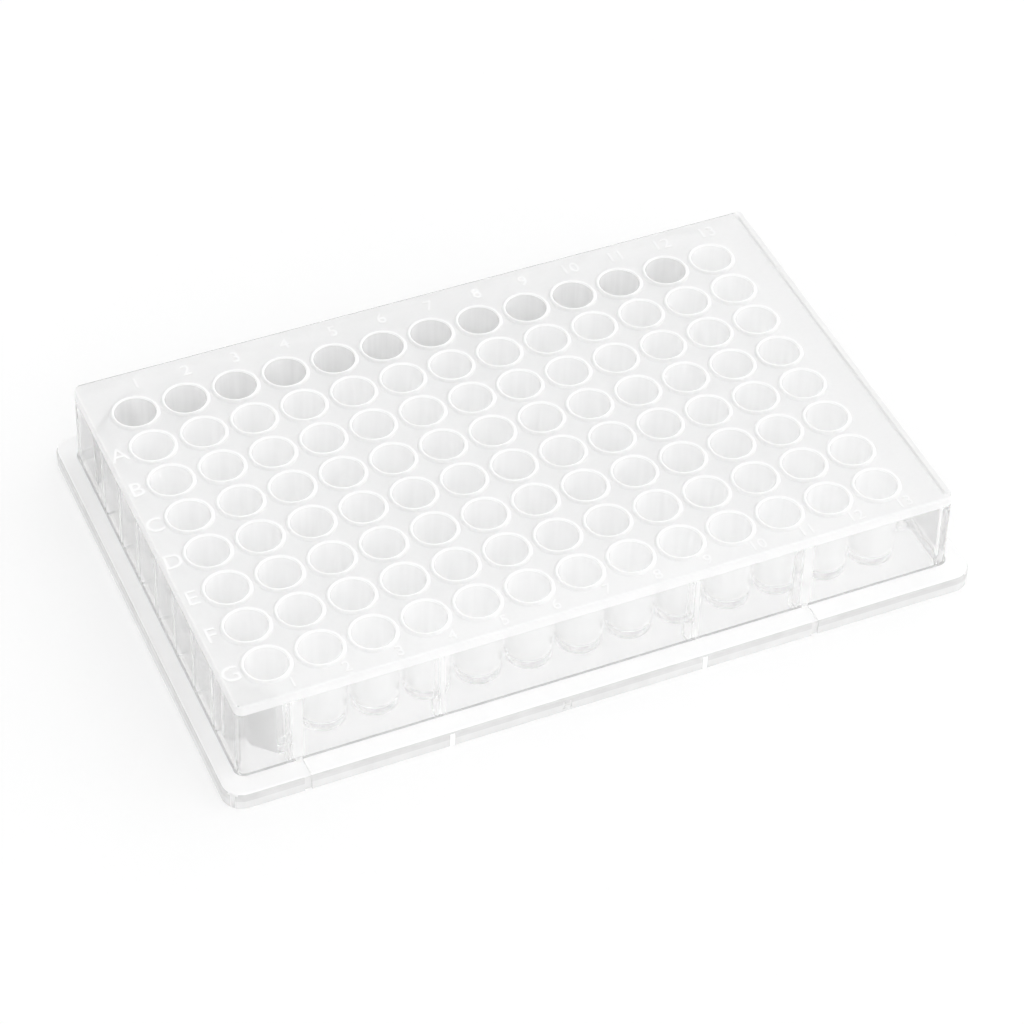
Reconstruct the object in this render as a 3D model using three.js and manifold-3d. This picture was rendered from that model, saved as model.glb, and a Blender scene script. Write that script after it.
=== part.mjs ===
// Clear polystyrene well plate, moulded in one piece: a skirted box with an open underside, whose deck carries
// a grid of flat-bottomed wells. Millimetres, +Z up, origin at the bottom centre of the footprint.
// +X runs along a row, from column 1 to the last column. +Y runs from the last row back to row A.

import * as THREE from 'three';
import { mergeGeometries, mergeVertices } from 'three/addons/utils/BufferGeometryUtils.js';
import Module from 'manifold-3d';

// ---- Driving dimensions -------------------------------------------------------------------------

// Grid of wells
const columns = 13;
const rows = 8;
const boreMouthRadius = 3.42; // radius of a well at its mouth
const boreDraft = 0.3; // how much narrower the bore is at its floor
const rimWidth = 0.66; // width of the raised bead round a mouth
const rimGap = 0.44; // deck left between two neighbouring beads
const leftMargin = 7.4; // deck edge to the centres of column 1
const rightMargin = 10.56; // centres of the last column to the deck edge
const backMargin = 9.95; // deck edge to the centres of row A
const frontMargin = 6.93; // centres of the last row to the deck edge

// Heights, all from the bottom edge of the skirt
const overallHeight = 18; // crest of the beads
const rimHeight = 0.4; // beads above the deck
const deckThickness = 1.8;
const wellDepth = 13.2; // crest to well floor
const floorThickness = 1.25;
const skirtHeight = 3;
const ledgeThickness = 1.4;

// Walls
const wallThickness = 1.1; // side walls of the box
const wallDraft = 0.25; // how much further out each wall stands at its foot
const tubeWall = 0.56; // wall of a well under the deck
const skirtThickness = 1.2;
const ledgeAtEnds = 3.3; // ledge on the two short sides
const ledgeAtSides = 4.2; // ledge on the two long sides

// Corners and edges
const skirtCornerRadius = 3.4;
const wallCornerRadius = 1.3;
const skirtEdgeRadius = 0.5; // rounded top edge of the skirt
const deckEdgeRadius = 0.3;
const underDeckFillet = 0.5;

// Ribs, webs and the lip
const ribThickness = 0.8;
const thickRib = 1.9;
const endRibDepth = 2; // how far a rib between two rows stands out of its end wall
const ribFoot = 0.5; // clearance of the long ribs above the surface that the plate stands on
const cornerWebThickness = 0.8;
const cornerWebClearance = 0.1; // outer face of a corner web to the corner well's tube
const lipWidth = 1.2; // raised lip along the deck's edge beyond the last column
const notchWidth = 1.2; // slot across the ledge at each thick rib
const notchDepth = 0.35;

// Ribs between the long walls and the wells, each at a place along the row counted in columns
const longWallRibs = [
  { column: 0.25, thickness: thickRib, notched: true },
  { column: 3, thickness: ribThickness, notched: false },
  { column: 8, thickness: ribThickness, notched: false },
  { column: 10.25, thickness: thickRib, notched: true },
];

// Facets
const boreFacets = 12;
const tubeFacets = 8;
const cornerFacets = 4;
const overlap = 0.4; // how far a piece that is joined reaches into its neighbour
const overshoot = 1; // how far a cut reaches past the surface that it opens

// ---- Sizes that follow --------------------------------------------------------------------------

const pitch = 2 * (boreMouthRadius + rimWidth) + rimGap;
const deckLength = leftMargin + (columns - 1) * pitch + rightMargin;
const deckWidth = backMargin + (rows - 1) * pitch + frontMargin;
const boxLength = deckLength;
const boxWidth = deckWidth;
const footprintLength = boxLength + 2 * ledgeAtEnds;
const footprintWidth = boxWidth + 2 * ledgeAtSides;

const deckTop = overallHeight - rimHeight;
const deckUnderside = deckTop - deckThickness;
const ledgeUnderside = skirtHeight - ledgeThickness;
const wellFloor = overallHeight - wellDepth;
const tubeBottom = wellFloor - floorThickness;

const firstColumnX = -deckLength / 2 + leftMargin;
const backRowY = deckWidth / 2 - backMargin;
const frontRowY = backRowY - (rows - 1) * pitch;
const boreFloorRadius = boreMouthRadius - boreDraft;
const tubeTopRadius = boreMouthRadius + tubeWall;
const tubeBottomRadius = boreFloorRadius + tubeWall;

const columnX = (column) => firstColumnX + column * pitch;
const rowY = (row) => backRowY - row * pitch;

// ---- Outlines -----------------------------------------------------------------------------------

// Rounded rectangle about the origin, anticlockwise
function roundedRectangle(length, width, radius) {
  const points = [];
  const centres = [
    [length / 2 - radius, width / 2 - radius],
    [radius - length / 2, width / 2 - radius],
    [radius - length / 2, radius - width / 2],
    [length / 2 - radius, radius - width / 2],
  ];
  centres.forEach(([x, y], corner) => {
    for (let step = 0; step <= cornerFacets; step += 1) {
      const angle = ((corner + step / cornerFacets) * Math.PI) / 2;
      points.push(new THREE.Vector2(x + radius * Math.cos(angle), y + radius * Math.sin(angle)));
    }
  });
  return points;
}

// Polygon with the area of a circle of this radius, anticlockwise
function circle(x, y, radius, facets) {
  const turn = (2 * Math.PI) / facets;
  const reach = radius * Math.sqrt(turn / Math.sin(turn));
  return Array.from({ length: facets }, (_, index) => {
    const angle = (index + 0.5) * turn;
    return new THREE.Vector2(x + reach * Math.cos(angle), y + reach * Math.sin(angle));
  });
}

function rectangle(x0, x1, y0, y1) {
  return [
    new THREE.Vector2(x0, y0),
    new THREE.Vector2(x1, y0),
    new THREE.Vector2(x1, y1),
    new THREE.Vector2(x0, y1),
  ];
}

// ---- Closed forms -------------------------------------------------------------------------------

// Skins a stack of outlines that all have the same number of points, from the lowest to the highest
function loft(sections) {
  const count = sections[0].outline.length;
  const positions = sections.flatMap(({ outline, z }) => outline.flatMap((point) => [point.x, point.y, z]));
  const triangles = [];
  for (let level = 0; level < sections.length - 1; level += 1) {
    for (let index = 0; index < count; index += 1) {
      const next = (index + 1) % count;
      const low = level * count;
      const high = low + count;
      triangles.push(low + index, low + next, high + next);
      triangles.push(low + index, high + next, high + index);
    }
  }
  const last = (sections.length - 1) * count;
  THREE.ShapeUtils.triangulateShape(sections[0].outline, []).forEach(([a, b, c]) => {
    triangles.push(c, b, a);
  });
  THREE.ShapeUtils.triangulateShape(sections.at(-1).outline, []).forEach(([a, b, c]) => {
    triangles.push(last + a, last + b, last + c);
  });
  const geometry = new THREE.BufferGeometry();
  geometry.setAttribute('position', new THREE.Float32BufferAttribute(positions, 3));
  geometry.setIndex(triangles);
  return geometry;
}

function prism(outline, z0, z1) {
  return loft([
    { outline, z: z0 },
    { outline, z: z1 },
  ]);
}

// One form at every well, as one geometry
function atEachWell(makeForm) {
  const forms = [];
  for (let row = 0; row < rows; row += 1) {
    for (let column = 0; column < columns; column += 1) {
      forms.push(makeForm(columnX(column), rowY(row)));
    }
  }
  return mergeGeometries(forms);
}

// ---- Joining and cutting ------------------------------------------------------------------------

const wasm = await Module();
wasm.setup();

function solid(geometry) {
  const merged = mergeVertices(geometry);
  return new wasm.Manifold(
    new wasm.Mesh({
      numProp: 3,
      vertProperties: new Float32Array(merged.attributes.position.array),
      triVerts: new Uint32Array(merged.index.array),
    }),
  );
}

function geometryOf(body) {
  const mesh = body.getMesh();
  const geometry = new THREE.BufferGeometry();
  geometry.setAttribute('position', new THREE.BufferAttribute(mesh.vertProperties, 3));
  geometry.setIndex(new THREE.BufferAttribute(mesh.triVerts, 1));
  geometry.computeVertexNormals();
  return geometry;
}

// ---- The moulding's features --------------------------------------------------------------------

// Outside: skirt, ledge and box as one lofted form, closed at the deck and at the foot
function outerForm() {
  const skirt = (inset) =>
    roundedRectangle(footprintLength - 2 * inset, footprintWidth - 2 * inset, skirtCornerRadius - inset);
  const box = (inset) => {
    const radius = Math.max(wallCornerRadius - inset, wallCornerRadius / 2);
    return roundedRectangle(boxLength - 2 * inset, boxWidth - 2 * inset, radius);
  };
  const edge = skirtEdgeRadius;
  const halfEdge = edge * (1 - Math.SQRT1_2);
  return loft([
    { outline: skirt(0), z: 0 },
    { outline: skirt(0), z: skirtHeight - edge },
    { outline: skirt(halfEdge), z: skirtHeight - halfEdge },
    { outline: skirt(edge), z: skirtHeight },
    { outline: box(-wallDraft), z: skirtHeight },
    { outline: box(0), z: deckTop - deckEdgeRadius },
    { outline: box(deckEdgeRadius), z: deckTop },
  ]);
}

// Inside: the hollow under the ledge opens into the hollow under the deck
function innerHollow() {
  const skirtLength = footprintLength - 2 * skirtThickness;
  const skirtWidth = footprintWidth - 2 * skirtThickness;
  const skirt = roundedRectangle(skirtLength, skirtWidth, skirtCornerRadius - skirtThickness);
  const box = (inset) =>
    roundedRectangle(
      boxLength - 2 * (wallThickness + inset),
      boxWidth - 2 * (wallThickness + inset),
      wallCornerRadius,
    );
  return loft([
    { outline: skirt, z: -overshoot },
    { outline: skirt, z: ledgeUnderside },
    { outline: box(-wallDraft), z: ledgeUnderside },
    { outline: box(0), z: deckUnderside - underDeckFillet },
    { outline: box(underDeckFillet), z: deckUnderside },
  ]);
}

// A tapered tube under the deck, solid here and hollowed later
function tube(x, y) {
  return loft([
    { outline: circle(x, y, tubeBottomRadius, tubeFacets), z: tubeBottom },
    { outline: circle(x, y, tubeTopRadius, tubeFacets), z: deckUnderside + overlap },
  ]);
}

// Clears each tube, and what the ribs leave in it, to within its wall, so that its lining can seat there
function plug(x, y) {
  const inWall = tubeWall / 4;
  const taper = (boreDraft * (overshoot + overallHeight - wellFloor)) / wellDepth;
  return loft([
    { outline: circle(x, y, boreFloorRadius + inWall, boreFacets), z: wellFloor - floorThickness / 4 },
    { outline: circle(x, y, boreFloorRadius + taper + inWall, boreFacets), z: overallHeight + overshoot },
  ]);
}

// The inside of a well as one turned form: up within the tube's wall, out to the foot of the raised bead, up
// its slope to the crest at the mouth, and down the tapered bore to the flat floor
function lining(x, y) {
  const inWall = tubeWall / 2;
  const rimRadius = boreMouthRadius + rimWidth;
  return loft([
    { outline: circle(x, y, boreFloorRadius + inWall, boreFacets), z: wellFloor - floorThickness / 2 },
    { outline: circle(x, y, boreMouthRadius + inWall, boreFacets), z: deckTop - overlap },
    { outline: circle(x, y, rimRadius, boreFacets), z: deckTop - overlap },
    { outline: circle(x, y, rimRadius, boreFacets), z: deckTop },
    { outline: circle(x, y, boreMouthRadius, boreFacets), z: overallHeight },
    { outline: circle(x, y, boreFloorRadius, boreFacets), z: wellFloor },
  ]);
}

// A rib from a long wall to the nearest row of wells, and the gusset that carries it on to the skirt
function longWallRib({ column, thickness }, side) {
  const x = columnX(column);
  const nearestRowY = side > 0 ? backRowY : frontRowY;
  const slab = (y0, y1, z1) =>
    prism(
      rectangle(x - thickness / 2, x + thickness / 2, Math.min(y0, y1), Math.max(y0, y1)),
      ribFoot,
      z1,
    );
  const inTube = nearestRowY + side * boreFloorRadius;
  const inWall = side * (boxWidth / 2 - wallThickness / 2);
  const insideBox = side * (boxWidth / 2 - wallThickness - overlap);
  const inSkirt = side * (footprintWidth / 2 - skirtThickness + overlap);
  return [slab(inTube, inWall, deckUnderside + overlap), slab(insideBox, inSkirt, ledgeUnderside + overlap)];
}

// Ribs on an end wall, one between each two rows
function endWallRib(row, side) {
  const y = rowY(row + 0.5);
  const outer = side * (boxLength / 2 - wallThickness / 2);
  const inner = side * (boxLength / 2 - wallThickness - endRibDepth);
  const outline = rectangle(
    Math.min(outer, inner),
    Math.max(outer, inner),
    y - ribThickness / 2,
    y + ribThickness / 2,
  );
  return prism(outline, ledgeUnderside, deckUnderside + overlap);
}

// A web across each left corner of the box at 45 degrees, just outside the corner well's tube
function cornerWeb(side) {
  const rowCentreY = side > 0 ? backRowY : frontRowY;
  const outerFace = tubeTopRadius + cornerWebClearance + cornerWebThickness;
  const innerFace = outerFace - cornerWebThickness;
  const wallX = -boxLength / 2 + wallThickness / 2;
  const wallY = side * (boxWidth / 2 - wallThickness / 2);
  // where a line at this distance from the well's centre, facing the corner, meets the two walls
  const onEndWall = (distance) =>
    new THREE.Vector2(wallX, rowCentreY + side * (distance * Math.SQRT2 - (columnX(0) - wallX)));
  const onLongWall = (distance) =>
    new THREE.Vector2(columnX(0) - (distance * Math.SQRT2 - Math.abs(wallY - rowCentreY)), wallY);
  const outline = [onEndWall(innerFace), onEndWall(outerFace), onLongWall(outerFace), onLongWall(innerFace)];
  if (THREE.ShapeUtils.isClockWise(outline)) {
    outline.reverse();
  }
  return prism(outline, ledgeUnderside, deckUnderside + overlap);
}

// A low lip with sloping sides along the deck's edge beyond the last column, as high as the beads
function endLip() {
  const far = boxLength / 2 - deckEdgeRadius;
  const slope = rimHeight / 2;
  const lip = (inset) => {
    const halfWidth = boxWidth / 2 - deckEdgeRadius - wallCornerRadius / 2 - inset;
    return rectangle(far - lipWidth + inset, far - inset, -halfWidth, halfWidth);
  };
  return loft([
    { outline: lip(0), z: deckTop - overlap },
    { outline: lip(0), z: deckTop },
    { outline: lip(slope), z: overallHeight },
  ]);
}

// A slot down the skirt's face and across the ledge, in line with a thick rib
function notchCuts({ column }, side) {
  const x = columnX(column);
  const face = side * (footprintWidth / 2);
  const wallFoot = side * (boxWidth / 2 + wallDraft);
  const half = notchWidth / 2;
  const slot = (ya, yb) => rectangle(x - half, x + half, Math.min(ya, yb), Math.max(ya, yb));
  return [
    prism(slot(face + side * overshoot, face - side * notchDepth), -overshoot, skirtHeight + overshoot),
    prism(slot(face + side * overshoot, wallFoot), skirtHeight - notchDepth, skirtHeight + overshoot),
  ];
}

// ---- The plate ----------------------------------------------------------------------------------

function wellPlateGeometry() {
  let body = solid(outerForm()).subtract(solid(innerHollow()));
  body = body.add(solid(atEachWell(tube)));
  for (const side of [-1, 1]) {
    for (const rib of longWallRibs) {
      for (const slab of longWallRib(rib, side)) {
        body = body.add(solid(slab));
      }
    }
    for (let row = 0; row < rows - 1; row += 1) {
      body = body.add(solid(endWallRib(row, side)));
    }
    body = body.add(solid(cornerWeb(side)));
  }
  body = body.add(solid(endLip()));
  body = body.subtract(solid(atEachWell(plug))).add(solid(atEachWell(lining)));
  for (const side of [-1, 1]) {
    for (const rib of longWallRibs.filter(({ notched }) => notched)) {
      for (const cut of notchCuts(rib, side)) {
        body = body.subtract(solid(cut));
      }
    }
  }
  return geometryOf(body);
}

const clearPolystyrene = new THREE.MeshStandardMaterial({
  color: 0xf1f3f3,
  roughness: 0.18,
  metalness: 0,
  transparent: true,
  opacity: 0.45,
});

const plate = new THREE.Mesh(wellPlateGeometry(), clearPolystyrene);
plate.name = 'well_plate';

const group = new THREE.Group();
group.add(plate);

export default group;
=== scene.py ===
"""Looks of a clear polystyrene well plate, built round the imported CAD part.

Shapes are in millimetres until a mesh is made of them.
"""

import math

import bmesh
import bpy
from mathutils import Matrix, Vector


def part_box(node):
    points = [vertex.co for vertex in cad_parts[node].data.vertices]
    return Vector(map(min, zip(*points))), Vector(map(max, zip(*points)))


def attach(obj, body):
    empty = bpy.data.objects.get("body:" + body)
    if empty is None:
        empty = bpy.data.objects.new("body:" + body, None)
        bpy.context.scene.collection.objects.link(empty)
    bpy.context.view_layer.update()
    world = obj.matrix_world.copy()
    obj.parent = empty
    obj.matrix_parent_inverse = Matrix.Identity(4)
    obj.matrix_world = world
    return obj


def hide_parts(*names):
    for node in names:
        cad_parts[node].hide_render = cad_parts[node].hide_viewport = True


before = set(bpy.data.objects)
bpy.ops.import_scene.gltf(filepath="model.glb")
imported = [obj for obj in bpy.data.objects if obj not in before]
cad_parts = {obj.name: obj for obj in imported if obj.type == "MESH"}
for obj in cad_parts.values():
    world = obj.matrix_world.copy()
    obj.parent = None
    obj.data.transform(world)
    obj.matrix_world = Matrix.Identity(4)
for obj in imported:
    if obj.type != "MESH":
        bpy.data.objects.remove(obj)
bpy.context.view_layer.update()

MM = 0.001

# ---- Dimensions, as in the part's source ---------------------------------------------------------

node_low, node_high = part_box("well_plate")
FOOT_LENGTH = (node_high.x - node_low.x) / MM
FOOT_WIDTH = (node_high.y - node_low.y) / MM
CREST = node_high.z / MM

COLUMNS = 13
ROWS = 8
PITCH = 8.6
MOUTH_RADIUS = 3.42
BORE_DRAFT = 0.3
RIM_WIDTH = 0.66
LEFT_MARGIN = 7.4
BACK_MARGIN = 9.95
RIM_HEIGHT = 0.4
DECK_THICKNESS = 1.8
WELL_DEPTH = 13.2
FLOOR_THICKNESS = 1.25
SKIRT_HEIGHT = 3.0
LEDGE_THICKNESS = 1.4
WALL = 1.1
WALL_DRAFT = 0.25
TUBE_WALL = 0.56
SKIRT_WALL = 1.2
LEDGE_AT_ENDS = 3.3
LEDGE_AT_SIDES = 4.2
SKIRT_CORNER = 3.4
WALL_CORNER = 1.3
SKIRT_EDGE = 0.5
DECK_EDGE = 0.3
HOLLOW_FILLET = 0.5  # between the walls and the deck's underside
RIB = 0.8
THICK_RIB = 1.9
END_RIB_DEPTH = 2.0
RIB_FOOT = 0.5
WEB = 0.8
WEB_CLEARANCE = 0.1
LIP_WIDTH = 1.2
NOTCH_WIDTH = 1.2
NOTCH_DEPTH = 0.35
LONG_RIBS = (  # (column, which may lie between two, thickness, whether a notch stands outside it)
    (0.25, THICK_RIB, True),
    (3, RIB, False),
    (8, RIB, False),
    (10.25, THICK_RIB, True),
)

BOX_LENGTH = FOOT_LENGTH - 2 * LEDGE_AT_ENDS
BOX_WIDTH = FOOT_WIDTH - 2 * LEDGE_AT_SIDES
DECK_TOP = CREST - RIM_HEIGHT
DECK_UNDERSIDE = DECK_TOP - DECK_THICKNESS
LEDGE_UNDERSIDE = SKIRT_HEIGHT - LEDGE_THICKNESS
WELL_FLOOR = CREST - WELL_DEPTH
TUBE_BOTTOM = WELL_FLOOR - FLOOR_THICKNESS
FIRST_X = -BOX_LENGTH / 2 + LEFT_MARGIN
BACK_Y = BOX_WIDTH / 2 - BACK_MARGIN
FRONT_Y = BACK_Y - (ROWS - 1) * PITCH
FLOOR_RADIUS = MOUTH_RADIUS - BORE_DRAFT
TUBE_TOP_RADIUS = MOUTH_RADIUS + TUBE_WALL
TUBE_BOTTOM_RADIUS = FLOOR_RADIUS + TUBE_WALL

# ---- Small details that the CAD part makes plainer or leaves out ---------------------------------

FOOT_EDGE = 0.12
LEDGE_FILLET = 0.25  # between the ledge and the box's walls
PANEL_FOOT = 4.7  # height at which the corner webs end here and the painted shade on the walls begins
TUBE_FOOT_EDGE = 0.3
TUBE_NECK_HEIGHT = 0.15
TUBE_NECK_FLARE = 0.12
WELL_FLOOR_FILLET = 0.35
RIM_PROFILE = (  # (distance inwards from the rim's foot, height above the deck)
    (-0.08, 0.0),
    (0.0, 0.04),
    (0.08, 0.16),
    (0.19, 0.3),
    (0.32, 0.385),
    (0.44, RIM_HEIGHT),
    (0.56, 0.37),
    (0.635, 0.28),
    (RIM_WIDTH, 0.12),
)
LIP_SHOULDER = 0.25
LIP_TAPER = 0.1
NUB_RADIUS = 0.85
NUB_HEIGHT = 0.36
NUB_TOP_SHARE = 0.7
GATE_X = -BOX_LENGTH / 2 + 52.5
GATE_WIDTH = 1.5
GATE_STROKE = 0.35
GATE_DEPTH = 0.15
GATE_LOW = 0.6
GATE_HIGH = 2.2

# ---- Lettering -----------------------------------------------------------------------------------

MARK_RELIEF = 0.08
MARK_GAP = 0.005
CAPITAL_SHARE = 0.72  # height of a capital as a share of the font's size
CURVE_FINENESS = 3
MERGE_DISTANCE = 0.002
LETTERS = "ABCDEFG"
LETTER_HEIGHT = 3.2
LETTER_FROM_EDGE = 1.75
LETTER_FIRST_ROW = 1
NUMBER_SHIFT = 2.4
BACK_NUMBER_HEIGHT = 2.5
BACK_NUMBER_FROM_EDGE = 3.3
FRONT_NUMBER_HEIGHT = 2.2
FRONT_NUMBER_FROM_EDGE = 1.9

# ---- Fineness ------------------------------------------------------------------------------------

WELL_FACETS = 40
CORNER_FACETS = 12
SMALL_STEPS = 3  # steps of a quarter round
MIDDLE_STEPS = 4
LARGE_STEPS = 5
OVERLAP = 0.4  # how far a form that is joined reaches into its neighbour
OVERSHOOT = 1.0  # how far a cut reaches past the surface that it opens
PLUG_REACH = 0.25  # share of a tube's wall and floor that the cut for its bore takes
LINING_REACH = 0.5  # share of them that the bore's lining reaches into, so that the two overlap
SHARP_ANGLE = 35
FLAT_ANGLE = 4  # below it, the parts of one split face still count as one face

# ---- Finishes and light --------------------------------------------------------------------------

REFRACTIVE_INDEX = 1.3
GRAIN_DETAIL = 3.0
GRAIN_DARK_BELOW = 0.3
GRAIN_LIGHT_ABOVE = 0.65
FINISHES = {
    # name: (clear share, roughness, darkest and lightest tint, grain per metre, grain height in mm)
    "clear_walls": (1.0, 0.14, 0.99, 1.0, (180, 180, 60), 0.0),
    "outer_walls": (0.95, 0.14, 0.94, 0.965, (180, 180, 60), 0.0),
    "satin_deck": (0.35, 0.5, 0.928, 0.942, (1300, 1300, 1300), 0.002),
    "drawn_bores": (0.1, 0.25, 0.975, 1.0, (1300, 1300, 20), 0.0),
    "shaded_bores": (0.2, 0.25, 0.915, 0.96, (1300, 1300, 20), 0.0),
    "well_floors": (0.3, 0.25, 0.975, 1.0, (700, 700, 700), 0.0),
    # painted highlight: milky white rims and lines, standing in for the light that catches them
    "painted_highlights": (0.0, 0.3, 0.99, 1.0, (900, 900, 900), 0.0),
    "drawn_tubes": (1.0, 0.15, 0.995, 1.0, (900, 900, 25), 0.0),
    "satin_ledge": (0.05, 0.35, 0.99, 1.0, (500, 500, 500), 0.0),
    "deck_side": (0.25, 0.3, 0.95, 0.975, (300, 300, 300), 0.0),
    "shaded_walls": (1.0, 0.15, 0.58, 0.66, (180, 180, 60), 0.0),
    "clear_skirt": (0.3, 0.25, 0.84, 0.90, (300, 300, 300), 0.0),
    # painted shade: the skirt's upper band and the steeper part of its rounded top edge are darker than
    # the rest of the skirt
    "skirt_shade_band": (0.3, 0.25, 0.72, 0.80, (300, 300, 300), 0.0),
    "skirt_inside": (1.0, 0.3, 0.98, 1.0, (300, 300, 300), 0.0),
    "shaded_webs": (0.7, 0.3, 0.74, 0.82, (300, 300, 300), 0.0),
    "rib_sides": (1.0, 0.2, 0.98, 1.0, (300, 300, 300), 0.0),
    # painted light: lighter bars on the outer walls where ribs stand behind them
    "rib_light_bars": (0.6, 0.25, 0.96, 0.99, (300, 300, 300), 0.0),
    # painted shade: dark lines on the walls' rounded foot and along the deck's rounded back edge
    "painted_shade_lines": (0.7, 0.2, 0.50, 0.60, (300, 300, 300), 0.0),
}

# painted highlight: the raised marks are real relief, made milky white all over to stand in for the
# light that their edges catch
MARK_HIGHLIGHT_FINISH = (0.0, 0.4, 0.99, 1.0, (900, 900, 900), 0.0)

HORIZON_LIGHT = 0.96
ZENITH_LIGHT = 1.05
FLOOR_OWN_LIGHT = 0.4  # share of white backdrop in the floor that the camera and clear plastic see
FULL_LIGHT_HEIGHT = 0.8  # sine of the elevation from which the tent is at its brightest
TENT_SLOPE = (0.28, -0.12, 0.0)  # more light from the last column's end, less from behind

# ---- Where the finishes meet ---------------------------------------------------------------------

RIM_HIGHLIGHT = 0.36  # width of a rim's painted highlight, a milky white band on its crown
HIGHLIGHT_SWING = 0.2  # how much wider the painted highlight is towards the last column's end, the side the light comes from
HAIR = 0.01
SLACK = 0.02
BORE_SLACK = 0.03
BORE_TOP = 0.2  # height above the deck at which a bore's finish gives way to its rim's
WELL_FLOOR_BAND = 0.3
DECK_SIDE_BAND = 0.5
# height of the painted shade line on the walls' rounded foot
FOOT_SHADE_BAND = 0.27
LEDGE_BAND = 0.52
SKIRT_BAND = 0.6
TUBE_SLACK = 0.2
PANEL_SLACK = 0.05
ALONG_AXIS = 0.9  # least share of a normal along an axis for a face that looks that way
OUTWARDS = 0.95
LEDGE_UPWARDS = 0.75
UPRIGHT = 0.3  # most that an upright face's normal rises or falls
DIAGONAL = 0.05  # most that the two level parts of a diagonal face's normal differ
SPLIT_PRECISION = 0.0001

# ---- Stage, camera and settings ------------------------------------------------------------------

FLOOR_REACH = 3.0  # metres from the middle
FLOOR_LEVEL = -0.05
FLOOR_TINT = 0.99
FLOOR_ROUGHNESS = 0.9
CAMERA_AZIMUTH = -24.67
CAMERA_ELEVATION = 44.1
CAMERA_ROLL = 1.755
CAMERA_AIM = (-2.27, -7.29, 9.0)
CAMERA_DISTANCE = 555.4
CAMERA_LENS = 121.5
CAMERA_SENSOR = 36
CLIP_NEAR = 0.01  # metres
CLIP_FAR = 20
MOST_BOUNCES = 64
GLOSSY_BOUNCES = 32
DIFFUSE_BOUNCES = 24
BRIGHTEST_INDIRECT = 20  # clamp, because without one the denoiser leaves blotches in the bores


def column_x(column):
    return FIRST_X + column * PITCH


def row_y(row):
    return BACK_Y - row * PITCH


# ---- Outlines ------------------------------------------------------------------------------------


def rounded_rectangle(length, width, radius):
    """Anticlockwise rounded rectangle about the origin."""
    centres = ((1, 1), (-1, 1), (-1, -1), (1, -1))
    points = []
    for corner, (sx, sy) in enumerate(centres):
        for step in range(CORNER_FACETS + 1):
            angle = (corner + step / CORNER_FACETS) * math.pi / 2
            points.append((
                sx * (length / 2 - radius) + radius * math.cos(angle),
                sy * (width / 2 - radius) + radius * math.sin(angle),
            ))
    return points


def circle(x, y, radius):
    """Polygon with the area of a circle, so that its flats straddle the true radius."""
    turn = 2 * math.pi / WELL_FACETS
    reach = radius * math.sqrt(turn / math.sin(turn))
    return [
        (x + reach * math.cos((i + 0.5) * turn), y + reach * math.sin((i + 0.5) * turn))
        for i in range(WELL_FACETS)
    ]


def rectangle(x0, x1, y0, y1):
    x0, x1 = min(x0, x1), max(x0, x1)
    y0, y1 = min(y0, y1), max(y0, y1)
    return [(x0, y0), (x1, y0), (x1, y1), (x0, y1)]


def fillet(r0, z0, r1, z1, steps, outward):
    """Points of a quarter round between (r0, z0) and (r1, z1). outward picks the side it bulges to."""
    points = []
    for step in range(steps + 1):
        angle = step / steps * math.pi / 2
        if outward:
            points.append((r0 + (r1 - r0) * (1 - math.cos(angle)), z0 + (z1 - z0) * math.sin(angle)))
        else:
            points.append((r0 + (r1 - r0) * math.sin(angle), z0 + (z1 - z0) * (1 - math.cos(angle))))
    return points


# ---- Closed forms --------------------------------------------------------------------------------


class Form:
    """Vertices and faces of one or more closed shells, in millimetres."""

    def __init__(self):
        self.vertices = []
        self.faces = []

    def loft(self, sections):
        """Skins a stack of (outline, z) with caps. The stack may go up and come back down inside."""
        count = len(sections[0][0])
        base = len(self.vertices)
        for outline, z in sections:
            self.vertices += [(x, y, z) for x, y in outline]
        for level in range(len(sections) - 1):
            low = base + level * count
            for i in range(count):
                j = (i + 1) % count
                self.faces.append((low + i, low + j, low + count + j, low + count + i))
        self.faces.append(tuple(base + i for i in reversed(range(count))))
        last = base + (len(sections) - 1) * count
        self.faces.append(tuple(last + i for i in range(count)))
        return self

    def prism(self, outline, z0, z1):
        return self.loft([(outline, z0), (outline, z1)])

    def mesh_object(self, name):
        mesh = bpy.data.meshes.new(name)
        mesh.from_pydata([tuple(c * MM for c in v) for v in self.vertices], [], self.faces)
        mesh.validate()
        made = bpy.data.objects.new(name, mesh)
        bpy.context.scene.collection.objects.link(made)
        return made


def at_each_well(make_sections):
    form = Form()
    for row in range(ROWS):
        for column in range(COLUMNS):
            form.loft(make_sections(column_x(column), row_y(row)))
    return form


def combine(body, operation, form, name):
    """Joins a form to the body, or cuts it out."""
    tool = form.mesh_object(name)
    step = body.modifiers.new(name, "BOOLEAN")
    step.operation = operation
    step.solver = "MANIFOLD"
    step.object = tool
    graph = bpy.context.evaluated_depsgraph_get()
    made = bpy.data.meshes.new_from_object(body.evaluated_get(graph))
    body.modifiers.clear()
    old = body.data
    body.data = made
    bpy.data.meshes.remove(old)
    tool_mesh = tool.data
    bpy.data.objects.remove(tool)
    bpy.data.meshes.remove(tool_mesh)


# ---- The moulding --------------------------------------------------------------------------------


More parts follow.
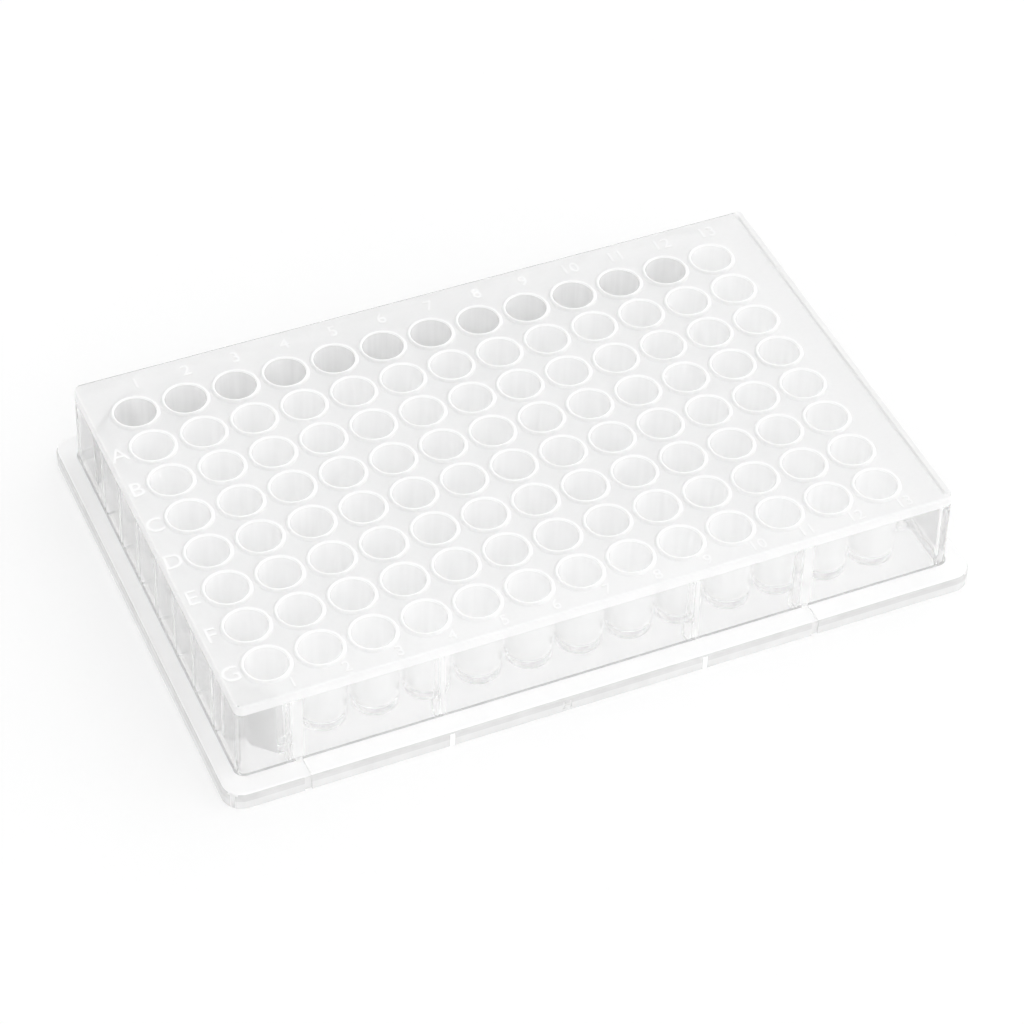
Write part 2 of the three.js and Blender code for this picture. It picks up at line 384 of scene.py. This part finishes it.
def outer_form():
    def skirt(inset):
        return rounded_rectangle(FOOT_LENGTH - 2 * inset, FOOT_WIDTH - 2 * inset, SKIRT_CORNER - inset)

    def box(inset):
        radius = max(WALL_CORNER - inset, WALL_CORNER / 2)
        return rounded_rectangle(BOX_LENGTH - 2 * inset, BOX_WIDTH - 2 * inset, radius)

    skirt_top = SKIRT_HEIGHT - SKIRT_EDGE
    wall_foot = SKIRT_HEIGHT + LEDGE_FILLET
    wall_top = DECK_TOP - DECK_EDGE
    foot_round = fillet(FOOT_EDGE, 0, 0, FOOT_EDGE, SMALL_STEPS, False)
    skirt_round = fillet(0, skirt_top, SKIRT_EDGE, SKIRT_HEIGHT, LARGE_STEPS, True)
    ledge_inner = WALL_DRAFT + LEDGE_FILLET
    ledge_round = fillet(ledge_inner, SKIRT_HEIGHT, WALL_DRAFT, wall_foot, SMALL_STEPS, False)
    draft_there = WALL_DRAFT * (wall_top - DECK_UNDERSIDE) / (wall_top - SKIRT_HEIGHT - LEDGE_FILLET)
    deck_round = fillet(0, wall_top, DECK_EDGE, DECK_TOP, MIDDLE_STEPS, True)
    sections = [(skirt(r), z) for r, z in foot_round]
    sections += [(skirt(0), LEDGE_UNDERSIDE)]
    sections += [(skirt(r), z) for r, z in skirt_round]
    sections += [(box(-r), z) for r, z in ledge_round]
    sections += [(box(-draft_there), DECK_UNDERSIDE)]
    sections += [(box(r), z) for r, z in deck_round]
    return Form().loft(sections)


def inner_hollow():
    """What is cut out from below, with an extra ring where the painted shade on the walls begins."""
    skirt = rounded_rectangle(
        FOOT_LENGTH - 2 * SKIRT_WALL,
        FOOT_WIDTH - 2 * SKIRT_WALL,
        SKIRT_CORNER - SKIRT_WALL,
    )

    def box(inset):
        length = BOX_LENGTH - 2 * (WALL + inset)
        width = BOX_WIDTH - 2 * (WALL + inset)
        return rounded_rectangle(length, width, WALL_CORNER)

    wall_top = DECK_UNDERSIDE - HOLLOW_FILLET
    draft_there = WALL_DRAFT * (wall_top - PANEL_FOOT) / (wall_top - LEDGE_UNDERSIDE)
    sections = [(skirt, -OVERSHOOT), (skirt, LEDGE_UNDERSIDE), (box(-WALL_DRAFT), LEDGE_UNDERSIDE)]
    sections += [(box(-draft_there), PANEL_FOOT)]
    deck_round = fillet(0, wall_top, HOLLOW_FILLET, DECK_UNDERSIDE, MIDDLE_STEPS, True)
    sections += [(box(r), z) for r, z in deck_round]
    return Form().loft(sections)


def tube_sections(x, y):
    """The outside of a well's tube, from its rounded foot to its flare under the deck."""
    foot_radius = TUBE_BOTTOM_RADIUS - TUBE_FOOT_EDGE
    foot_top = TUBE_BOTTOM + TUBE_FOOT_EDGE
    neck_radius = TUBE_TOP_RADIUS + TUBE_NECK_FLARE
    stack = fillet(foot_radius, TUBE_BOTTOM, TUBE_BOTTOM_RADIUS, foot_top, SMALL_STEPS, False)
    stack += [
        (TUBE_TOP_RADIUS, DECK_UNDERSIDE - TUBE_NECK_HEIGHT),
        (neck_radius, DECK_UNDERSIDE),
        (neck_radius, DECK_UNDERSIDE + OVERLAP),
    ]
    return [(circle(x, y, r), z) for r, z in stack]


def plug_sections(x, y):
    """What opens a tube through the deck. It stays inside the wall that the lining then covers."""
    in_wall = TUBE_WALL * PLUG_REACH
    taper = BORE_DRAFT * (OVERSHOOT + WELL_DEPTH) / WELL_DEPTH
    return [
        (circle(x, y, FLOOR_RADIUS + in_wall), WELL_FLOOR - FLOOR_THICKNESS * PLUG_REACH),
        (circle(x, y, FLOOR_RADIUS + taper + in_wall), CREST + OVERSHOOT),
    ]


def lining_sections(x, y):
    """A well's bore and rim: up inside the wall, over the rim and down to the well's floor."""
    in_wall = TUBE_WALL * LINING_REACH
    rim = MOUTH_RADIUS + RIM_WIDTH
    stack = [
        (FLOOR_RADIUS + in_wall, WELL_FLOOR - FLOOR_THICKNESS * LINING_REACH),
        (MOUTH_RADIUS + in_wall, DECK_TOP - OVERLAP),
        (rim - RIM_PROFILE[0][0], DECK_TOP - OVERLAP),
    ]
    stack += [(rim - inwards, DECK_TOP + height) for inwards, height in RIM_PROFILE]
    fillet_top = WELL_FLOOR + WELL_FLOOR_FILLET
    floor_edge = FLOOR_RADIUS - WELL_FLOOR_FILLET
    stack += fillet(FLOOR_RADIUS, fillet_top, floor_edge, WELL_FLOOR, SMALL_STEPS, True)
    return [(circle(x, y, r), z) for r, z in stack]


def long_rib(column, thickness, side):
    """A rib from an outer row to a long wall, and its gusset under the ledge."""
    x0 = column_x(column) - thickness / 2
    x1 = column_x(column) + thickness / 2
    row = BACK_Y if side > 0 else FRONT_Y
    near = row + side * FLOOR_RADIUS
    far = side * (BOX_WIDTH / 2 - WALL / 2)
    rib = Form().prism(rectangle(x0, x1, near, far), RIB_FOOT, DECK_UNDERSIDE + OVERLAP)
    near = side * (BOX_WIDTH / 2 - WALL - OVERLAP)
    far = side * (FOOT_WIDTH / 2 - SKIRT_WALL + OVERLAP)
    gusset = Form().prism(rectangle(x0, x1, near, far), RIB_FOOT, LEDGE_UNDERSIDE + OVERLAP)
    return rib, gusset


def end_ribs():
    """The ribs on the end walls, one between each two rows."""
    form = Form()
    for side in (-1, 1):
        in_wall = side * (BOX_LENGTH / 2 - WALL / 2)
        edge = side * (BOX_LENGTH / 2 - WALL - END_RIB_DEPTH)
        for row in range(ROWS - 1):
            y = row_y(row + 0.5)
            outline = rectangle(in_wall, edge, y - RIB / 2, y + RIB / 2)
            form.prism(outline, LEDGE_UNDERSIDE, DECK_UNDERSIDE + OVERLAP)
    return form


def corner_web(side):
    """The diagonal web round the first column's outer well, between the end wall and a long wall."""
    row = BACK_Y if side > 0 else FRONT_Y
    outer = TUBE_TOP_RADIUS + WEB_CLEARANCE + WEB
    wall_x = -BOX_LENGTH / 2 + WALL / 2
    wall_y = side * (BOX_WIDTH / 2 - WALL / 2)
    first_x = column_x(0)

    def on_end_wall(distance):
        return (wall_x, row + side * (distance * math.sqrt(2) - (first_x - wall_x)))

    def on_long_wall(distance):
        return (first_x - (distance * math.sqrt(2) - abs(wall_y - row)), wall_y)

    inner = outer - WEB
    outline = [on_end_wall(inner), on_end_wall(outer), on_long_wall(outer), on_long_wall(inner)]
    area = sum(a[0] * b[1] - b[0] * a[1] for a, b in zip(outline, outline[1:] + outline[:1]))
    if area < 0:
        outline.reverse()
    return Form().prism(outline, PANEL_FOOT, DECK_UNDERSIDE + OVERLAP)


def end_lip():
    """The raised lip along the deck's edge beyond the last column."""
    far = BOX_LENGTH / 2 - DECK_EDGE

    def lip(inset):
        half = BOX_WIDTH / 2 - DECK_EDGE - WALL_CORNER / 2 - inset
        return rectangle(far - inset, far - LIP_WIDTH + inset, -half, half)

    return Form().loft([
        (lip(0), DECK_TOP - OVERLAP),
        (lip(0), DECK_TOP),
        (lip(LIP_TAPER), DECK_TOP + LIP_SHOULDER),
        (lip(2 * LIP_TAPER), CREST),
    ])


def corner_nub():
    """A nub on the deck's back corner, where the lip beyond the last column ends."""
    x = BOX_LENGTH / 2 - DECK_EDGE - NUB_RADIUS
    y = BOX_WIDTH / 2 - DECK_EDGE - NUB_RADIUS
    return Form().loft([
        (circle(x, y, NUB_RADIUS), DECK_TOP - OVERLAP),
        (circle(x, y, NUB_RADIUS), DECK_TOP + NUB_HEIGHT / 2),
        (circle(x, y, NUB_RADIUS * NUB_TOP_SHARE), DECK_TOP + NUB_HEIGHT),
    ])


def notches():
    """The cuts down the skirt's face, and the cuts across the ledge."""
    face_cuts, ledge_cuts = Form(), Form()
    for side in (-1, 1):
        for column, _, notched in LONG_RIBS:
            if notched:
                x0 = column_x(column) - NOTCH_WIDTH / 2
                x1 = x0 + NOTCH_WIDTH
                face = side * FOOT_WIDTH / 2
                clear = face + side * OVERSHOOT
                above = SKIRT_HEIGHT + OVERSHOOT
                wall = side * (BOX_WIDTH / 2 + WALL_DRAFT)
                face_cuts.prism(rectangle(x0, x1, clear, face - side * NOTCH_DEPTH), -OVERSHOOT, above)
                ledge_cuts.prism(rectangle(x0, x1, clear, wall), SKIRT_HEIGHT - NOTCH_DEPTH, above)
    return face_cuts, ledge_cuts


def glyphs(text, x, y, height):
    """Raised characters that stand on the deck, centred on x and y."""
    curve = bpy.data.curves.new("glyph", "FONT")
    curve.body = text
    curve.size = height / CAPITAL_SHARE * MM
    curve.align_x = "CENTER"
    curve.align_y = "CENTER"
    curve.resolution_u = CURVE_FINENESS
    curve.extrude = MARK_RELIEF / 2 * MM
    writer = bpy.data.objects.new("glyph", curve)
    bpy.context.scene.collection.objects.link(writer)
    bpy.context.view_layer.update()
    graph = bpy.context.evaluated_depsgraph_get()
    mesh = bpy.data.meshes.new_from_object(writer.evaluated_get(graph))
    mesh.transform(Matrix.Translation(Vector((x, y, DECK_TOP + MARK_GAP + MARK_RELIEF / 2)) * MM))
    bpy.data.objects.remove(writer)
    bpy.data.curves.remove(curve)
    return mesh


def marks():
    """Row letters beside the second row onwards, and column numbers along both long edges."""
    written = bmesh.new()
    for i, letter in enumerate(LETTERS):
        x = -BOX_LENGTH / 2 + LETTER_FROM_EDGE
        add_mesh(written, glyphs(letter, x, row_y(LETTER_FIRST_ROW + i), LETTER_HEIGHT))
    back = BOX_WIDTH / 2 - BACK_NUMBER_FROM_EDGE
    front = -BOX_WIDTH / 2 + FRONT_NUMBER_FROM_EDGE
    for column in range(COLUMNS):
        x = column_x(column) + NUMBER_SHIFT
        number = str(column + 1)
        add_mesh(written, glyphs(number, x, back, BACK_NUMBER_HEIGHT))
        add_mesh(written, glyphs(number, x, front, FRONT_NUMBER_HEIGHT))
    bmesh.ops.remove_doubles(written, verts=written.verts, dist=MERGE_DISTANCE * MM)
    bmesh.ops.triangulate(written, faces=written.faces)
    bmesh.ops.recalc_face_normals(written, faces=written.faces)
    mesh = bpy.data.meshes.new("deck_marks")
    written.to_mesh(mesh)
    written.free()
    made = bpy.data.objects.new("deck_marks", mesh)
    bpy.context.scene.collection.objects.link(made)
    return made


def add_mesh(target, mesh):
    target.from_mesh(mesh)
    bpy.data.meshes.remove(mesh)


def gate_mark():
    """A shallow cross-barred mark in the face of the front skirt."""
    x0 = GATE_X - GATE_WIDTH / 2
    x1 = x0 + GATE_WIDTH
    y0 = -FOOT_WIDTH / 2 - OVERSHOOT
    y1 = -FOOT_WIDTH / 2 + GATE_DEPTH
    strokes = Form()
    for left, right in ((x0, x0 + GATE_STROKE), (x1 - GATE_STROKE, x1)):
        strokes.prism(rectangle(left, right, y0, y1), GATE_LOW, GATE_HIGH)
    middle = (GATE_LOW + GATE_HIGH) / 2
    outline = rectangle(x0 + GATE_STROKE / 2, x1 - GATE_STROKE / 2, y0, y1)
    bar = Form().prism(outline, middle - GATE_STROKE / 2, middle + GATE_STROKE / 2)
    return strokes, bar


def build_plate():
    body = outer_form().mesh_object("plate_moulding")
    combine(body, "DIFFERENCE", inner_hollow(), "hollow")
    combine(body, "UNION", at_each_well(tube_sections), "tubes")
    for side in (-1, 1):
        for column, thickness, _ in LONG_RIBS:
            for part in long_rib(column, thickness, side):
                combine(body, "UNION", part, "rib")
        combine(body, "UNION", corner_web(side), "web")
    combine(body, "UNION", end_ribs(), "end_ribs")
    combine(body, "UNION", end_lip(), "lip")
    combine(body, "UNION", corner_nub(), "nub")
    combine(body, "DIFFERENCE", at_each_well(plug_sections), "plugs")
    combine(body, "UNION", at_each_well(lining_sections), "linings")
    for cuts in notches():
        combine(body, "DIFFERENCE", cuts, "notches")
    for cut in gate_mark():
        combine(body, "DIFFERENCE", cut, "gate_mark")
    return body


# ---- Finish --------------------------------------------------------------------------------------


def polystyrene(name, clear_share, roughness, dark, light, grain, height):
    """Polystyrene, part clear and part milky. Its grain varies the tint and may ripple the surface."""
    material = bpy.data.materials.new(name)
    material.use_nodes = True
    nodes, links = material.node_tree.nodes, material.node_tree.links
    shader = nodes["Principled BSDF"]
    shader.inputs["IOR"].default_value = REFRACTIVE_INDEX
    shader.inputs["Transmission Weight"].default_value = clear_share
    shader.inputs["Roughness"].default_value = roughness
    place = nodes.new("ShaderNodeTexCoord")
    stretch = nodes.new("ShaderNodeMapping")
    stretch.inputs["Scale"].default_value = grain
    noise = nodes.new("ShaderNodeTexNoise")
    noise.inputs["Scale"].default_value = 1.0
    noise.inputs["Detail"].default_value = GRAIN_DETAIL
    links.new(place.outputs["Object"], stretch.inputs["Vector"])
    links.new(stretch.outputs["Vector"], noise.inputs["Vector"])
    tint = nodes.new("ShaderNodeValToRGB")
    darkest, lightest = tint.color_ramp.elements
    darkest.position = GRAIN_DARK_BELOW
    darkest.color = (dark, dark, dark, 1)
    lightest.position = GRAIN_LIGHT_ABOVE
    lightest.color = (light, light, light, 1)
    links.new(noise.outputs["Fac"], tint.inputs["Fac"])
    links.new(tint.outputs["Color"], shader.inputs["Base Color"])
    if height:
        ripple = nodes.new("ShaderNodeBump")
        ripple.inputs["Strength"].default_value = 1.0
        ripple.inputs["Distance"].default_value = height * MM
        links.new(noise.outputs["Fac"], ripple.inputs["Height"])
        links.new(ripple.outputs["Normal"], shader.inputs["Normal"])
    return material


def is_outer(x, y):
    """Whether a point is on the box's outside or beyond it."""
    return abs(x) > BOX_LENGTH / 2 - SLACK or abs(y) > BOX_WIDTH / 2 - SLACK


def stands_outside(face, axis):
    """Whether an upright face looks outwards along an axis, from the box or the skirt."""
    centre = face.calc_center_median() / MM
    outwards = face.normal[axis] * math.copysign(1, centre[axis])
    return outwards > OUTWARDS and is_outer(centre.x, centre.y) and centre.z < DECK_UNDERSIDE


def split_outside(body):
    """Splits the upright outside faces where ribs stand behind them, and makes their borders sharp."""
    work = bmesh.new()
    work.from_mesh(body.data)
    work.normal_update()
    cuts = [(0, column_x(column), thickness) for column, thickness, _ in LONG_RIBS]
    cuts += [(1, row_y(row + 0.5), RIB) for row in range(ROWS - 1)]
    for axis, middle, thickness in cuts:
        for place in (middle - thickness / 2, middle + thickness / 2):
            faces = [f for f in work.faces if stands_outside(f, 1 - axis)]
            edges = list({e for f in faces for e in f.edges})
            corners = list({v for f in faces for v in f.verts})
            point = Vector((0, 0, 0))
            point[axis] = place * MM
            direction = Vector((0, 0, 0))
            direction[axis] = 1
            bmesh.ops.bisect_plane(
                work,
                geom=faces + edges + corners,
                dist=SPLIT_PRECISION * MM,
                plane_co=point,
                plane_no=direction,
            )
    for face in work.faces:
        if stands_outside(face, 0) or stands_outside(face, 1):
            for edge in face.edges:
                if edge.calc_face_angle(0) > math.radians(FLAT_ANGLE):
                    edge.smooth = False
    work.to_mesh(body.data)
    work.free()


def region_of(face):
    """Which finish a face has, from where it is and which way it looks."""
    x, y, z = (c / MM for c in face.center)
    normal = face.normal
    if z > DECK_UNDERSIDE or is_in_bore(x, y, z):
        finish = deck_or_bore_finish(x, y, z, normal)
        if finish:
            return finish
    if is_outer(x, y):
        return outside_finish(x, y, z, normal)
    return inside_finish(x, y, z, normal)


def nearest_well(x, y):
    """Column and row of the nearest well, and the distance to its axis."""
    column = min(max(round((x - FIRST_X) / PITCH), 0), COLUMNS - 1)
    row = min(max(round((BACK_Y - y) / PITCH), 0), ROWS - 1)
    return column, row, math.hypot(x - column_x(column), y - row_y(row))


def is_in_bore(x, y, z):
    away = nearest_well(x, y)[2]
    return away < MOUTH_RADIUS + BORE_SLACK and WELL_FLOOR - HAIR < z < DECK_TOP + BORE_TOP


def deck_or_bore_finish(x, y, z, normal):
    """Finish of the deck, the rims, the bores and the deck's sides, or None elsewhere."""
    column, row, away = nearest_well(x, y)
    if abs(z - DECK_TOP) < HAIR and normal.z > ALONG_AXIS:
        return "satin_deck"
    if is_in_bore(x, y, z):
        if z < WELL_FLOOR + WELL_FLOOR_BAND:
            return "well_floors"
        return "shaded_bores" if row == 0 and column < COLUMNS - 1 else "drawn_bores"
    if z > DECK_TOP + HAIR:
        # painted highlight: a milky white band on each rim, wider towards the last column's end
        highlight_width = RIM_HIGHLIGHT + HIGHLIGHT_SWING * max((x - column_x(column)) / away, 0)
        return "painted_highlights" if away < MOUTH_RADIUS + highlight_width else "satin_deck"
    # painted shade: a dark line along the deck's rounded back edge
    if z > DECK_TOP - DECK_EDGE and y > BOX_WIDTH / 2 - DECK_EDGE - HAIR:
        return "painted_shade_lines"
    if abs(x) > BOX_LENGTH / 2 - DECK_SIDE_BAND or abs(y) > BOX_WIDTH / 2 - DECK_SIDE_BAND:
        return "deck_side"
    return None


def ribs_at(x):
    """Thicknesses of the long walls' ribs that stand at x."""
    return [thick for column, thick, _ in LONG_RIBS if abs(x - column_x(column)) < thick / 2 + SLACK]


def is_between_rows(y):
    """Whether y is where an end wall's rib stands."""
    from_middle = abs((BACK_Y - y) / PITCH % 1 - 0.5) * PITCH
    return from_middle < RIB / 2 + SLACK and abs(y) < BACK_Y


def outside_finish(x, y, z, normal):
    """Finish of the walls' outside, the ledge and the skirt."""
    at_long_rib = ribs_at(x)
    if z > SKIRT_HEIGHT + HAIR:
        # painted shade: a dark line on the walls' rounded foot, where they meet the ledge
        if z < SKIRT_HEIGHT + FOOT_SHADE_BAND:
            return "painted_shade_lines"
        at_end_rib = is_between_rows(y) and abs(x) > BOX_LENGTH / 2 - SLACK
        # painted light: a lighter bar on the outer wall where a rib stands behind it
        return "rib_light_bars" if at_long_rib or at_end_rib else "outer_walls"
    on_long_skirt = abs(y) > FOOT_WIDTH / 2 - SKIRT_BAND
    # painted highlight: white lines down the long skirts where thin ribs stand behind them
    if z < SKIRT_HEIGHT - NOTCH_DEPTH + HAIR and RIB in at_long_rib and on_long_skirt:
        return "painted_highlights"
    if z > SKIRT_HEIGHT - LEDGE_BAND and normal.z > LEDGE_UPWARDS:
        return "satin_ledge"
    if on_long_skirt or abs(x) > FOOT_LENGTH / 2 - SKIRT_BAND:
        # painted shade: darker up to the ledge's underside and on the rounded top edge
        return "skirt_shade_band" if z > LEDGE_UNDERSIDE else "clear_skirt"
    return "skirt_inside"


def inside_finish(x, y, z, normal):
    """Finish of what stands in the hollow."""
    end_wall = BOX_LENGTH / 2 - WALL
    long_wall = BOX_WIDTH / 2 - WALL
    within_walls = abs(x) < end_wall + WALL_DRAFT and abs(y) < long_wall + WALL_DRAFT
    in_hollow = within_walls and LEDGE_UNDERSIDE - HAIR < z < DECK_UNDERSIDE and abs(normal.z) < UPRIGHT
    if in_hollow and abs(normal.x) > ALONG_AXIS and abs(y) > -FRONT_Y and ribs_at(x):
        return "rib_sides"
    if in_hollow and end_wall - END_RIB_DEPTH - SLACK < abs(x) < end_wall - SLACK and is_between_rows(y):
        return "rib_sides"
    away = nearest_well(x, y)[2]
    if away < TUBE_TOP_RADIUS + TUBE_SLACK and TUBE_BOTTOM - HAIR < z < DECK_UNDERSIDE + HAIR:
        return "drawn_tubes"
    on_shaded_wall = abs(x) > end_wall - PANEL_SLACK or y > long_wall - PANEL_SLACK
    if in_hollow and z > PANEL_FOOT and on_shaded_wall:
        return "shaded_walls"
    if in_hollow and x < FIRST_X and abs(abs(normal.x) - abs(normal.y)) < DIAGONAL:
        return "shaded_webs"
    return "clear_walls"


def mark_sharp(mesh, degrees):
    """Sharp edges by angle, on top of those that are sharp already."""
    work = bmesh.new()
    work.from_mesh(mesh)
    for edge in work.edges:
        edge.smooth = edge.smooth and edge.calc_face_angle(0) < math.radians(degrees)
    for face in work.faces:
        face.smooth = True
    work.to_mesh(mesh)
    work.free()


plate = build_plate()
split_outside(plate)
mesh = plate.data
mesh.materials.clear()
for name, finish in FINISHES.items():
    mesh.materials.append(polystyrene(name, *finish))
order = {name: i for i, name in enumerate(FINISHES)}
mesh.polygons.foreach_set("material_index", [order[region_of(face)] for face in mesh.polygons])
mark_sharp(mesh, SHARP_ANGLE)
weigh = plate.modifiers.new("weigh", "WEIGHTED_NORMAL")
weigh.keep_sharp = True
graph = bpy.context.evaluated_depsgraph_get()
weighed = bpy.data.meshes.new_from_object(plate.evaluated_get(graph))
plate.modifiers.clear()
plate.data = weighed
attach(plate, "root")
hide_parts("well_plate")
writing = marks()
# painted highlight: the marks get a milky white finish
writing.data.materials.append(polystyrene("raised_marks_highlight", *MARK_HIGHLIGHT_FINISH))
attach(writing, "root")

# ---- Stage ---------------------------------------------------------------------------------------


def floor():
    """A pale floor. What the camera and the clear plastic see of it has a share of white of its own."""
    square = rectangle(-FLOOR_REACH, FLOOR_REACH, -FLOOR_REACH, FLOOR_REACH)
    mesh = bpy.data.meshes.new("floor")
    mesh.from_pydata([(x, y, FLOOR_LEVEL * MM) for x, y in square], [], [(0, 1, 2, 3)])
    made = bpy.data.objects.new("floor", mesh)
    bpy.context.scene.collection.objects.link(made)
    material = bpy.data.materials.new("floor")
    material.use_nodes = True
    nodes, links = material.node_tree.nodes, material.node_tree.links
    shader = nodes["Principled BSDF"]
    shader.inputs["Base Color"].default_value = (FLOOR_TINT, FLOOR_TINT, FLOOR_TINT, 1)
    shader.inputs["Roughness"].default_value = FLOOR_ROUGHNESS
    shader.inputs["Specular IOR Level"].default_value = 0.0
    backdrop = nodes.new("ShaderNodeEmission")
    backdrop.inputs["Color"].default_value = (1, 1, 1, 1)
    seen = nodes.new("ShaderNodeLightPath")
    camera_or_glossy = nodes.new("ShaderNodeMath")
    camera_or_glossy.operation = "MAXIMUM"
    any_view = nodes.new("ShaderNodeMath")
    any_view.operation = "MAXIMUM"
    share = nodes.new("ShaderNodeMath")
    share.operation = "MULTIPLY"
    share.inputs[1].default_value = FLOOR_OWN_LIGHT
    mixed = nodes.new("ShaderNodeMixShader")
    links.new(seen.outputs["Is Camera Ray"], camera_or_glossy.inputs[0])
    links.new(seen.outputs["Is Glossy Ray"], camera_or_glossy.inputs[1])
    links.new(camera_or_glossy.outputs[0], any_view.inputs[0])
    links.new(seen.outputs["Is Transmission Ray"], any_view.inputs[1])
    links.new(any_view.outputs[0], share.inputs[0])
    links.new(share.outputs[0], mixed.inputs["Fac"])
    links.new(shader.outputs[0], mixed.inputs[1])
    links.new(backdrop.outputs[0], mixed.inputs[2])
    links.new(mixed.outputs[0], nodes["Material Output"].inputs["Surface"])
    mesh.materials.append(material)


def world_light():
    """A soft light tent: brightest overhead, greyer at the horizon, with a slope from side to side."""
    world = bpy.data.worlds.new("studio")
    world.use_nodes = True
    nodes, links = world.node_tree.nodes, world.node_tree.links
    background = nodes["Background"]
    background.inputs["Color"].default_value = (1, 1, 1, 1)
    place = nodes.new("ShaderNodeTexCoord")
    split = nodes.new("ShaderNodeSeparateXYZ")
    level = nodes.new("ShaderNodeMapRange")
    level.inputs["From Min"].default_value = 0.0
    level.inputs["From Max"].default_value = FULL_LIGHT_HEIGHT
    level.inputs["To Min"].default_value = HORIZON_LIGHT
    level.inputs["To Max"].default_value = ZENITH_LIGHT
    slope = nodes.new("ShaderNodeVectorMath")
    slope.operation = "DOT_PRODUCT"
    slope.inputs[1].default_value = TENT_SLOPE
    total = nodes.new("ShaderNodeMath")
    total.operation = "ADD"
    links.new(place.outputs["Generated"], split.inputs[0])
    links.new(split.outputs["Z"], level.inputs["Value"])
    links.new(place.outputs["Generated"], slope.inputs[0])
    links.new(level.outputs["Result"], total.inputs[0])
    links.new(slope.outputs["Value"], total.inputs[1])
    links.new(total.outputs[0], background.inputs["Strength"])
    bpy.context.scene.world = world


def camera():
    """The photo's angle: an azimuth from the front, an elevation and a small roll."""
    data = bpy.data.cameras.new("camera")
    data.sensor_width = CAMERA_SENSOR
    data.lens = CAMERA_LENS
    data.clip_start = CLIP_NEAR
    data.clip_end = CLIP_FAR
    made = bpy.data.objects.new("camera", data)
    a = math.radians(CAMERA_AZIMUTH)
    e = math.radians(CAMERA_ELEVATION)
    out = Vector((math.sin(a) * math.cos(e), -math.cos(a) * math.cos(e), math.sin(e)))
    made.location = Vector(CAMERA_AIM) * MM + out * (CAMERA_DISTANCE * MM)
    made.rotation_mode = "QUATERNION"
    level = (-out).to_track_quat("-Z", "Y")
    roll = Matrix.Rotation(math.radians(CAMERA_ROLL), 3, out).to_quaternion()
    made.rotation_quaternion = roll @ level
    bpy.context.scene.collection.objects.link(made)
    bpy.context.scene.camera = made


floor()
world_light()
camera()

scene = bpy.context.scene
scene.view_settings.view_transform = "Standard"
scene.cycles.max_bounces = MOST_BOUNCES
scene.cycles.transmission_bounces = MOST_BOUNCES
scene.cycles.glossy_bounces = GLOSSY_BOUNCES
scene.cycles.diffuse_bounces = DIFFUSE_BOUNCES
scene.cycles.blur_glossy = 0
scene.cycles.sample_clamp_indirect = BRIGHTEST_INDIRECT
